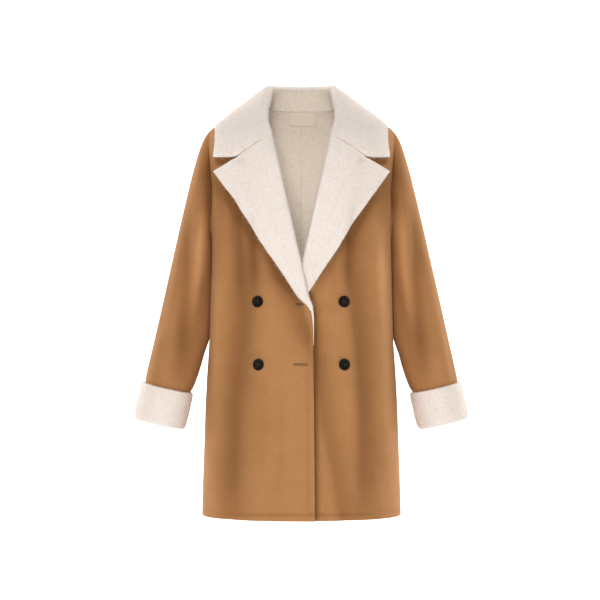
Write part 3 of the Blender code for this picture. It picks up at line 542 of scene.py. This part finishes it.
def pressBodyFolds(piece):
    points = verticesOf(piece) / mm
    depth, pressed, folded = bodyShift(points)
    # painted shade from the depth of the folds and the stitch lines, and painted highlight on the ridges
    shade = folded / paintedShadeScale["foldMm"] + pressed * paintedShadeScale["stitchShare"]
    front = smoothStep(points[:, 1], *bodyOval["frontY"])
    # painted shadow below the lapel and collar edges and in the notch, on the front only
    for before, after, dark, line in paintedEdgeShadows:
        shade += front * foldDepth(points[:, 0], points[:, 2], before, after, dark, line)
    if piece.name == "frontLeft":
        tuck = tuckedFront
        line = np.array(tuck["edge"])[::-1]
        off = points[:, 0] - np.interp(points[:, 2], line[:, 1], line[:, 0])
        below = smoothStep(points[:, 2], *(line[-1, 1] + np.array(tuck["fadeMm"]))) * front
        depth = depth + below * tuck["depthMm"] * np.exp(-(off / tuck["widthMm"]) ** 2)
        # painted shadow beside the upper front's edge: a dark narrow core and a softer wide spread
        shade += below * tuck["shade"] * np.exp(-(off / tuck["shadeMm"]) ** 2)
        shade += below * tuck["softShade"] * np.exp(-(off / tuck["softMm"]) ** 2)
    points -= bodyOutward(points) * (depth + pressed)[:, None]
    setVertices(piece, points * mm)
    noteShade(piece, shade)


def pressSleeveFolds(piece, side):
    points = verticesOf(piece) / mm
    share, turn, radial = sleeveFrame(points, side)
    depth = gentleWave["heightMm"] * wave(points * (1, 1, 0.5), gentleWave["lengthMm"])
    for foldSide, before, after, foldIn, line in sleeveFolds:
        if foldSide == side:
            depth = depth + sleeveFold(share, turn, before, after, foldIn, line)
    # painted shade in the sleeve's troughs and painted highlight on its ridges
    shade = depth / paintedShadeScale["foldMm"]
    inner = np.exp(-((turn - 180) / sleeveFade["innerDegrees"]) ** 2)
    depth *= smoothStep(share, *sleeveFade["headShare"]) * smoothStep(share, *sleeveFade["endShare"])
    depth *= (1 - inner) * smoothStep(points[:, 2], *sleeveFade["topZ"])
    lean = np.array(sleeveLean)[::-1]
    depth -= inner * np.interp(points[:, 2], lean[:, 0], lean[:, 1])
    points -= radial * depth[:, None]
    setVertices(piece, points * mm)
    # painted shadow on the sleeve heads and on the inner sleeve beside the body
    for foldSide, before, after, dark, line in paintedSleeveShadows:
        if foldSide == side:
            shade += sleeveFold(share, turn, before, after, dark, line)
    noteShade(piece, shade)


# how the solids become cloth: rounding levels, rounded rims (width in mm, segments), half the gap at a seam
wallShape = {"weldMm": 0.01, "sharpDegrees": 50, "halfGapMm": 0.4,
             "levels": {"front": 3, "back": 2, "sleeve": 2, "pile": 3, "label": 2},
             "rims": {"wool": (0.9, 2), "pile": (2.2, 4), "label": (0.25, 2)}}


def addRounder(piece, levels):
    rounder = piece.modifiers.new("rounder", "SUBSURF")
    rounder.levels = levels
    rounder.render_levels = levels
    bpy.ops.object.modifier_apply(modifier="rounder")


def wallFromNode(nodeName, name, kind):
    # a copy of the solid, its facets joined back into long quads and then rounded into smooth cloth
    piece = bpy.data.objects.new(name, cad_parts[nodeName].data.copy())
    bpy.context.scene.collection.objects.link(piece)
    piece.data.materials.clear()
    selectOnly(piece)
    bpy.ops.mesh.customdata_custom_splitnormals_clear()
    bpy.ops.object.mode_set(mode="EDIT")
    bpy.ops.mesh.select_all(action="SELECT")
    bpy.ops.mesh.remove_doubles(threshold=wallShape["weldMm"] * mm)
    bpy.ops.mesh.tris_convert_to_quads(face_threshold=1.2, shape_threshold=3.1)
    bpy.ops.mesh.select_mode(type="EDGE")
    bpy.ops.mesh.select_all(action="DESELECT")
    bpy.ops.mesh.edges_select_sharp(sharpness=math.radians(wallShape["sharpDegrees"]))
    bpy.ops.transform.edge_crease(value=1.0)
    bpy.ops.object.mode_set(mode="OBJECT")
    addRounder(piece, wallShape["levels"][kind])
    return piece


def softenRims(piece, kind):
    widthMm, segments = wallShape["rims"][kind]
    selectOnly(piece)
    rim = piece.modifiers.new("rim", "BEVEL")
    rim.width = widthMm * mm
    rim.segments = segments
    rim.limit_method = "ANGLE"
    rim.angle_limit = math.radians(wallShape["sharpDegrees"])
    bpy.ops.object.modifier_apply(modifier="rim")
    # sewn edges meet: the wall grows by half the gap that the solids keep
    meet = piece.modifiers.new("meet", "DISPLACE")
    meet.mid_level = 0.0
    meet.strength = wallShape["halfGapMm"] * mm
    bpy.ops.object.modifier_apply(modifier="meet")
    bpy.ops.object.shade_smooth()


def finishWall(piece, outwardAt):
    # the outside takes the cloth's face, the inside its pile back
    piece.data.materials.append(woolFinish)
    piece.data.materials.append(backFinish)
    count = len(piece.data.polygons)
    centres = np.empty(count * 3)
    normals = np.empty(count * 3)
    piece.data.polygons.foreach_get("center", centres)
    piece.data.polygons.foreach_get("normal", normals)
    facing = (outwardAt(centres.reshape(-1, 3) / mm) * normals.reshape(-1, 3)).sum(axis=1)
    piece.data.polygons.foreach_set("material_index", (facing < -0.35).astype(np.int32))


def curlPile(piece, depthMm):
    # combed curls of two sizes, cut into the wall so that its outline stays
    selectOnly(piece)
    for kind, size, share in (("CLOUDS", 1.0, 0.6), ("STUCCI", 2.4, 0.4)):
        texture = bpy.data.textures.new(f"{piece.name}{kind.title()}", kind)
        texture.noise_scale = pile["curlMm"] * size * mm
        curls = piece.modifiers.new("curls", "DISPLACE")
        curls.texture = texture
        curls.texture_coords = "LOCAL"
        curls.strength = depthMm * share * mm
        curls.mid_level = 1.0
        bpy.ops.object.modifier_apply(modifier="curls")


def makeBodyWalls():
    walls = {}
    for word in ("right", "left"):
        for place in ("front", "back"):
            node = f"{place}_{word}"
            wall = wallFromNode(node, f"{place}{word.title()}", place)
            softenRims(wall, "wool")
            pressBodyFolds(wall)
            finishWall(wall, bodyOutward)
            walls[node] = wall
    return walls


def makeSleeves():
    sleeves = {}
    for word, side in (("right", -1), ("left", 1)):
        sleeve = wallFromNode(f"sleeve_{word}", f"sleeve{word.title()}", "sleeve")
        softenRims(sleeve, "wool")
        pressSleeveFolds(sleeve, side)
        finishWall(sleeve, lambda points: sleeveFrame(points, side)[2])
        sleeves[f"sleeve_{word}"] = sleeve
    return sleeves


# the upper lapel runs out into the front edge: where this starts and ends, that edge, and what is left
breakEnd = {"topMm": -396.0, "endMm": -424.0, "edgeMm": 23.6, "share": 0.5}


def narrowBreak(wall):
    points = verticesOf(wall) / mm
    way = smoothStep(points[:, 2], breakEnd["topMm"], breakEnd["endMm"]) * (1 - breakEnd["share"])
    points[:, 0] += (breakEnd["edgeMm"] - points[:, 0]) * way
    setVertices(wall, points * mm)


# the stand inside the neck takes the bonded cloth's back, with its pile inwards, and its darker tone is
# partly that cloth's own and partly painted shade inside the neck: where it is, in mm
neckStand = {"frontY": 12, "halfWidth": 78, "topZ": 46, "centreY": -20}


def faceStand(collar):
    collar.data.materials.append(backFinish)
    stand = neckStand
    for face in collar.data.polygons:
        centre = face.center / mm
        behind = centre.y > stand["frontY"] and abs(centre.x) < stand["halfWidth"]
        away = Vector((centre.x, centre.y - stand["centreY"], 0)).normalized()
        inwards = face.normal.dot(away) < -0.3
        face.material_index = int(behind and centre.z < stand["topZ"] and inwards)


def makePileWalls():
    walls = {}
    for node, name, depthMm in (
        ("lapel_right", "lapelRight", 0.7),
        ("lapel_left", "lapelLeft", 0.7),
        ("collar", "collarPile", 0.7),
        ("cuff_right", "cuffRight", 0.9),
        ("cuff_left", "cuffLeft", 0.9),
    ):
        wall = wallFromNode(node, name, "pile")
        softenRims(wall, "pile")
        if node == "lapel_right":
            narrowBreak(wall)
        if not node.startswith("cuff"):
            pressBodyFolds(wall)
        curlPile(wall, depthMm)
        wall.data.materials.append(pileFinish)
        if node == "collar":
            faceStand(wall)
        walls[node] = wall
    return walls


bodyWalls = makeBodyWalls()
print("fronts and backs are made")
sleeves = makeSleeves()
print("sleeves are made")
pileWalls = makePileWalls()
print("collar, lapels and cuffs are made")

stitchSize = {"lengthMm": 3.4, "gapMm": 1.1, "thicknessMm": 0.62, "sunkMm": 0.12}


def surfaceTree(pieces):
    points = []
    faces = []
    for piece in pieces:
        start = len(points)
        points += [v.co.copy() for v in piece.data.vertices]
        faces += [[start + i for i in p.vertices] for p in piece.data.polygons]
    return BVHTree.FromPolygons(points, faces)


def fromFront(tree, x, z):
    # where a needle from the front meets the cloth at x, z in mm, and which way the cloth faces there
    place, normal, _, _ = tree.ray_cast(Vector((x * mm, -0.4, z * mm)), Vector((0, 1, 0)))
    return place, normal


def stitchShape():
    # one thread stitch: a low-sided ball drawn out along X
    bpy.ops.mesh.primitive_uv_sphere_add(segments=6, ring_count=4, radius=0.5, location=(0, 0, 0))
    shape = bpy.context.active_object
    points = [v.co.copy() for v in shape.data.vertices]
    faces = [list(p.vertices) for p in shape.data.polygons]
    bpy.data.objects.remove(shape)
    return points, faces


ballPoints, ballFaces = stitchShape()


def newPiece(name, points, faces):
    # a mesh from points and faces, its faces turned outwards and shaded smooth
    mesh = bpy.data.meshes.new(name)
    mesh.from_pydata(points, [], faces)
    piece = bpy.data.objects.new(name, mesh)
    bpy.context.scene.collection.objects.link(piece)
    selectOnly(piece)
    bpy.ops.object.mode_set(mode="EDIT")
    bpy.ops.mesh.select_all(action="SELECT")
    bpy.ops.mesh.normals_make_consistent(inside=False)
    bpy.ops.object.mode_set(mode="OBJECT")
    bpy.ops.object.shade_smooth()
    return piece


def closedTube(name, points, count, levels):
    # rings of points, count to a ring, joined into a rounded tube with both ends closed
    last = len(points) // count - 1
    faces = []
    for r in range(last):
        for k in range(count):
            after = (k + 1) % count
            faces.append([r * count + k, r * count + after, (r + 1) * count + after, (r + 1) * count + k])
    faces += [list(range(count)), list(range(last * count, last * count + count))]
    piece = newPiece(name, points, faces)
    addRounder(piece, levels)
    return piece


def layThreads(name, threads, finish):
    # threads: centre, direction, surface normal, length and thickness in metres
    points = []
    faces = []
    for centre, along, normal, length, thickness in threads:
        side = normal.cross(along).normalized()
        up = along.cross(side).normalized()
        turn = Matrix((along.normalized(), side, up)).transposed()
        start = len(points)
        points += [centre + turn @ Vector((p.x * length, p.y * thickness, p.z * thickness))
                   for p in ballPoints]
        faces += [[start + i for i in face] for face in ballFaces]
    piece = newPiece(name, points, faces)
    piece.data.materials.append(finish)
    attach(piece, "root")


def runningStitches(hits):
    # stitches along a line of close surface points
    threads = []
    size = stitchSize
    pitch = (size["lengthMm"] + size["gapMm"]) * mm
    raised = (size["thicknessMm"] / 2 - size["sunkMm"]) * mm
    walked = 0.0
    for (place, normal), (after, _) in zip(hits[:-1], hits[1:]):
        walked += (after - place).length
        if walked >= pitch:
            walked = 0.0
            along = (after - place).normalized()
            threads.append((place + normal * raised, along, normal, size["lengthMm"] * mm,
                            size["thicknessMm"] * mm))
    return threads


def sewEdges():
    # down the upper front's edge, then round the hem of all four walls
    hemZ = topstitch["hemZ"]
    front = surfaceTree([bodyWalls["front_right"]])
    hits = [fromFront(front, edgeStitchX(z), z) for z in np.arange(topstitch["frontTop"], hemZ, -0.5)]
    threads = runningStitches([hit for hit in hits if hit[0]])
    for node in ("front_right", "back_right", "back_left", "front_left"):
        wall = surfaceTree([bodyWalls[node]])
        hits = []
        for degrees in np.arange(0, 360, 0.15):
            way = Vector((math.sin(math.radians(degrees)), -math.cos(math.radians(degrees)), 0))
            place, normal, _, _ = wall.ray_cast(Vector((0, 0, hemZ * mm)) + way * 0.5, -way)
            frontEdge = (edgeStitchX(hemZ) + topstitch["insetMm"]) * mm
            underOther = node == "front_left" and place and place.x < frontEdge
            if place and normal.dot(way) > 0.3 and not underOther:
                hits.append((place, normal))
            elif hits:
                threads += runningStitches(hits)
                hits = []
        threads += runningStitches(hits)
    layThreads("edgeTopstitching", threads, camelThread)


# the facing's cream edge rolls out along the front edge below the lapel: x of the edge, z, width in mm. Its
# middle lies sunkMm below the cloth, which is felt for standMm in from the edge
facingEdge = {"line": ((20.6, -406, 7.0), (22.0, -413, 8.4), (23.4, -419, 7.6), (25.2, -428, 5.8),
                       (25.9, -441, 4.4), (26.1, -460, 3.0), (26.0, -480, 2.4), (25.8, -497, 1.4)),
              "thickMm": 4.4, "sunkMm": 1.0, "standMm": 5.0, "rings": 48, "round": 12, "curlMm": 0.4}


def rollFacingEdge():
    front = surfaceTree([bodyWalls["front_right"], pileWalls["lapel_right"]])
    shape = facingEdge
    line = np.array(shape["line"])
    points = []
    for z in np.linspace(line[0, 1], line[-1, 1], shape["rings"]):
        edge = np.interp(-z, -line[:, 1], line[:, 0])
        width = np.interp(-z, -line[:, 1], line[:, 2])
        place, _ = fromFront(front, edge - shape["standMm"], z)
        for k in range(shape["round"]):
            angle = 2 * math.pi * k / shape["round"]
            x = edge - width / 2 + width / 2 * math.cos(angle)
            y = place.y / mm + shape["sunkMm"] + shape["thickMm"] / 2 * math.sin(angle)
            points.append((x * mm, y * mm, z * mm))
    lip = closedTube("facingEdge", points, shape["round"], 2)
    curlPile(lip, shape["curlMm"])
    lip.data.materials.append(pileFinish)
    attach(lip, "root")


# the seam that joins collar and lapel, filled with pile: reach in x, and where to look for it in z, in mm
gorgeSeam = {"fromX": 57.0, "toX": 131.0, "topZ": -52.0, "lowZ": -128.0, "steps": 38, "gapMm": 5,
             "radiusMm": 2.8, "proudMm": 0.5, "round": 8}


def gorgeLine(word, side):
    # where the front of the cloth changes from lapel to collar, found upwards at each x
    lapel = surfaceTree([pileWalls[f"lapel_{word}"]])
    collar = surfaceTree([pileWalls["collar"]])
    line = []
    for x in np.linspace(gorgeSeam["fromX"], gorgeSeam["toX"], gorgeSeam["steps"]):
        below = None
        for z in np.arange(gorgeSeam["lowZ"], gorgeSeam["topZ"], 0.5):
            onLapel, _ = fromFront(lapel, x * side, z)
            onCollar, _ = fromFront(collar, x * side, z)
            if onLapel and not (onCollar and onCollar.y < onLapel.y):
                below = (z, onLapel.y / mm)
            elif onCollar and below and z - below[0] < gorgeSeam["gapMm"]:
                line.append((x * side, max(below[1], onCollar.y / mm), (z + below[0]) / 2))
                break
    return line


def sewGorge(word, side):
    shape = gorgeSeam
    line = np.array(gorgeLine(word, side))
    for _ in range(4):
        line[1:-1] = (line[:-2] + 2 * line[1:-1] + line[2:]) / 4
    line[:, 1] -= shape["proudMm"]
    last = len(line) - 1
    points = []
    for k, centre in enumerate(line):
        ahead = Vector(line[min(k + 1, last)] - line[max(k - 1, 0)]).normalized()
        across = Vector((0, -1, 0)).cross(ahead).normalized()
        up = ahead.cross(across)
        radius = shape["radiusMm"] * min(1.0, (last - k) / 6 + 0.2)     # slim where the notch opens
        for turn in range(shape["round"]):
            angle = 2 * math.pi * turn / shape["round"]
            off = across * math.cos(angle) + up * math.sin(angle)
            points.append((Vector(centre) + radius * off) * mm)
    seam = closedTube(f"gorgeSeam{word.title()}", points, shape["round"], 1)
    seam.data.materials.append(pileFinish)
    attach(seam, "root")


# fibres that stand out of the pile, most of them combed down, drawn much coarser than the real ones: how
# many on each piece, their length, thickness at the root, how far they rise, comb and stray, and how deep
# the root and the tip lie and the middle bows
pileFibres = {"collar": 8400, "lapel_right": 3400, "lapel_left": 3400,
              "cuff_right": 3000, "cuff_left": 3000,
              "lengthMm": (3.4, 6.8), "rootMm": 0.44,
              "rise": 0.55, "leastRise": 0.2, "comb": 0.6, "stray": 0.6,
              "rootDeepMm": 0.4, "tipDeepMm": 0.2, "bowMm": 0.25, "tipSwayMm": 0.7, "seed": 7}


def growFibres(wall, node):
    look = pileFibres
    chance = np.random.default_rng(look["seed"])
    count = look[node]
    mesh = wall.data
    mesh.calc_loop_triangles()
    corners = np.empty(len(mesh.loop_triangles) * 3, np.int32)
    mesh.loop_triangles.foreach_get("vertices", corners)
    finish = np.array([mesh.polygons[t.polygon_index].material_index for t in mesh.loop_triangles])
    tri = verticesOf(wall)[corners.reshape(-1, 3)][finish == 0]
    cross = np.cross(tri[:, 1] - tri[:, 0], tri[:, 2] - tri[:, 0])
    area = np.linalg.norm(cross, axis=1)
    picked = chance.choice(len(tri), count, p=area / area.sum())
    u, v = chance.random((2, count, 1))
    u, v = np.where(u + v > 1, 1 - u, u), np.where(u + v > 1, 1 - v, v)
    root = tri[picked, 0] + u * (tri[picked, 1] - tri[picked, 0]) + v * (tri[picked, 2] - tri[picked, 0])
    normal = cross[picked] / area[picked][:, None]
    stray = chance.normal(size=(count, 3)) * look["stray"]
    way = normal * look["rise"] + np.array([0, 0, -1]) * look["comb"] + stray
    way = unit(way + normal * np.maximum(look["leastRise"] - (way * normal).sum(axis=1, keepdims=True), 0))
    length = chance.uniform(*look["lengthMm"], (count, 1)) * mm
    side = unit(np.cross(normal, way))
    up = np.cross(side, way)
    half = look["rootMm"] / 2 * mm
    start = root - normal * look["rootDeepMm"] * mm
    middle = root + way * length * 0.5 + normal * look["bowMm"] * mm
    sway = side * chance.normal(size=(count, 1)) * look["tipSwayMm"] * mm
    tip = root + way * length - normal * look["tipDeepMm"] * mm + sway
    rings = []
    for centre, radius in ((start, half), (middle, half * 0.8)):
        for angle in (0, 120, 240):
            turn = math.radians(angle)
            rings.append(centre + radius * (side * math.cos(turn) + up * math.sin(turn)))
    points = np.stack(rings + [tip], axis=1).reshape(-1, 3)
    # three sides from the ring at the root to the middle one, and three on to the tip
    one = ((0, 1, 4, 3), (1, 2, 5, 4), (2, 0, 3, 5), (3, 4, 6), (4, 5, 6), (5, 3, 6))
    faces = [[7 * k + i for i in face] for k in range(count) for face in one]
    piece = newPiece(f"{wall.name}Fibres", points.tolist(), faces)
    piece.data.materials.append(pileFinish)
    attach(piece, "root")


# x and z of the inner and outer end of each buttonhole in the upper front, in mm
buttonholes = {"upper": ((-12.0, -411.5), (4.0, -412.5)), "lower": ((-15.5, -534.5), (12.5, -535.5))}
# length and thickness of the three kinds of stitch, and how far each is raised, in mm
holeShape = {"laps": 30, "slitMm": 0.9,
             "lap": (2.3, 0.75, 0.2), "core": (1.6, 0.55, 0.05), "bar": (5.0, 1.1, 0.3)}


def holeStitch(front, x, z, kind, along=None):
    # one stitch across the slit, or along it where that is given
    length, thickness, raised = holeShape[kind]
    place, normal = fromFront(front, x, z)
    along = along or (Vector((0, 0, 1)) - normal * normal.z).normalized()
    return place + normal * raised * mm, along, normal, length * mm, thickness * mm


def workButtonholes():
    front = surfaceTree([bodyWalls["front_right"]])
    threads = []
    slits = []
    lapOff = (holeShape["slitMm"] + holeShape["lap"][0]) / 2
    for start, end in buttonholes.values():
        for x, z in np.linspace(start, end, holeShape["laps"] + 1):
            threads.append(holeStitch(front, x, z - lapOff, "lap"))
            threads.append(holeStitch(front, x, z + lapOff, "lap"))
            slits.append(holeStitch(front, x, z, "core", Vector((1, 0, 0))))
        threads.append(holeStitch(front, *start, "bar"))
        threads.append(holeStitch(front, *end, "bar"))
    layThreads("buttonholeSlits", slits, buttonThread)
    layThreads("buttonholeStitches", threads, slitThread)


buttonShape = {"radiusMm": 11.7, "heightMm": 3.9, "rimMm": 1.9, "dishMm": 1.1, "dishWallMm": 1.3,
               "rimRoundMm": 0.5, "holeMm": 1.15, "holeOffMm": 2.4, "threadMm": 1.0, "threadShare": 2.35,
               "threadUpMm": (0.2, 0.7)}


def nodePlace(nodeName):
    # centre and outward axis of a flat round node: its points spread least along its axis
    points = verticesOf(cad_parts[nodeName])
    centre = points.mean(axis=0)
    _, _, axes = np.linalg.svd(points - centre, full_matrices=False)
    axis = Vector(axes[2])
    return Vector(centre), axis if axis.y < 0 else -axis


def makeButton(nodeName, name):
    shape = buttonShape
    centre, axis = nodePlace(nodeName)
    top = shape["heightMm"]
    bpy.ops.mesh.primitive_cylinder_add(vertices=64, radius=shape["radiusMm"] * mm, depth=top * mm,
                                        location=(0, 0, top / 2 * mm))
    button = bpy.context.active_object
    button.name = name
    selectOnly(button)
    bpy.ops.object.transform_apply(location=True, rotation=True, scale=True)
    bpy.ops.object.mode_set(mode="EDIT")
    bpy.ops.mesh.select_all(action="DESELECT")
    bpy.ops.object.mode_set(mode="OBJECT")
    for face in button.data.polygons:
        face.select = face.normal.z > 0.9
    bpy.ops.object.mode_set(mode="EDIT")
    bpy.ops.mesh.select_mode(type="FACE")
    bpy.ops.mesh.inset(thickness=shape["rimMm"] * mm)
    bpy.ops.mesh.inset(thickness=shape["dishWallMm"] * mm, depth=-shape["dishMm"] * mm)
    bpy.ops.object.mode_set(mode="OBJECT")
    for k in range(4):
        angle = math.pi / 4 + k * math.pi / 2
        reach = shape["holeOffMm"] * mm
        bpy.ops.mesh.primitive_cylinder_add(vertices=20, radius=shape["holeMm"] * mm, depth=0.02,
                                            location=(reach * math.cos(angle), reach * math.sin(angle), 0))
        drill = bpy.context.active_object
        selectOnly(button)
        hole = button.modifiers.new("hole", "BOOLEAN")
        hole.operation = "DIFFERENCE"
        hole.solver = "EXACT"
        hole.object = drill
        bpy.ops.object.modifier_apply(modifier="hole")
        bpy.data.objects.remove(drill)
    rim = button.modifiers.new("rim", "BEVEL")
    rim.width = shape["rimRoundMm"] * mm
    rim.segments = 3
    rim.limit_method = "ANGLE"
    rim.angle_limit = math.radians(40)
    bpy.ops.object.modifier_apply(modifier="rim")
    bpy.ops.object.shade_smooth_by_angle(angle=math.radians(50))
    # the button goes in with the cloth below it
    spot = np.array([centre]) / mm
    inward = Vector(bodyOutward(spot)[0]) * float(bodyShift(spot)[0][0]) * mm
    seat = centre - inward - axis * top / 2 * mm
    turn = Vector((0, 0, 1)).rotation_difference(axis).to_matrix().to_4x4()
    button.data.transform(Matrix.Translation(seat) @ turn)
    button.data.materials.append(hornFinish)
    threads = []
    for angle, up in zip((math.pi / 4, math.pi * 3 / 4), shape["threadUpMm"]):
        way = turn @ Vector((math.cos(angle), math.sin(angle), 0))
        raised = seat + axis * (top - shape["dishMm"] + up) * mm
        threads.append((raised, way, axis, shape["threadShare"] * shape["holeOffMm"] * mm,
                        shape["threadMm"] * mm))
    return button, threads


def makeButtons():
    threads = []
    for nodeName, name in (
        ("button_upper_right", "buttonUpperRight"),
        ("button_lower_right", "buttonLowerRight"),
        ("button_upper_left", "buttonUpperLeft"),
        ("button_lower_left", "buttonLowerLeft"),
    ):
        button, crossed = makeButton(nodeName, name)
        threads += crossed
        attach(button, "root")
        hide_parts(nodeName)
    layThreads("buttonThreads", threads, buttonThread)


def makeLabel():
    label = wallFromNode("neck_label", "neckLabel", "label")
    softenRims(label, "label")
    label.data.materials.append(labelFinish)
    return label


def settle(walls):
    for node, wall in walls.items():
        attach(wall, "root")
        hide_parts(node)


sewEdges()
workButtonholes()
rollFacingEdge()
sewGorge("right", -1)
sewGorge("left", 1)
for node, wall in pileWalls.items():
    growFibres(wall, node)
print("edges and buttonholes are sewn")
makeButtons()
settle({"neck_label": makeLabel()})
print("buttons and label are on")
settle(bodyWalls)
settle(sleeves)
settle(pileWalls)
print("every piece rides on the body and stands for its node")
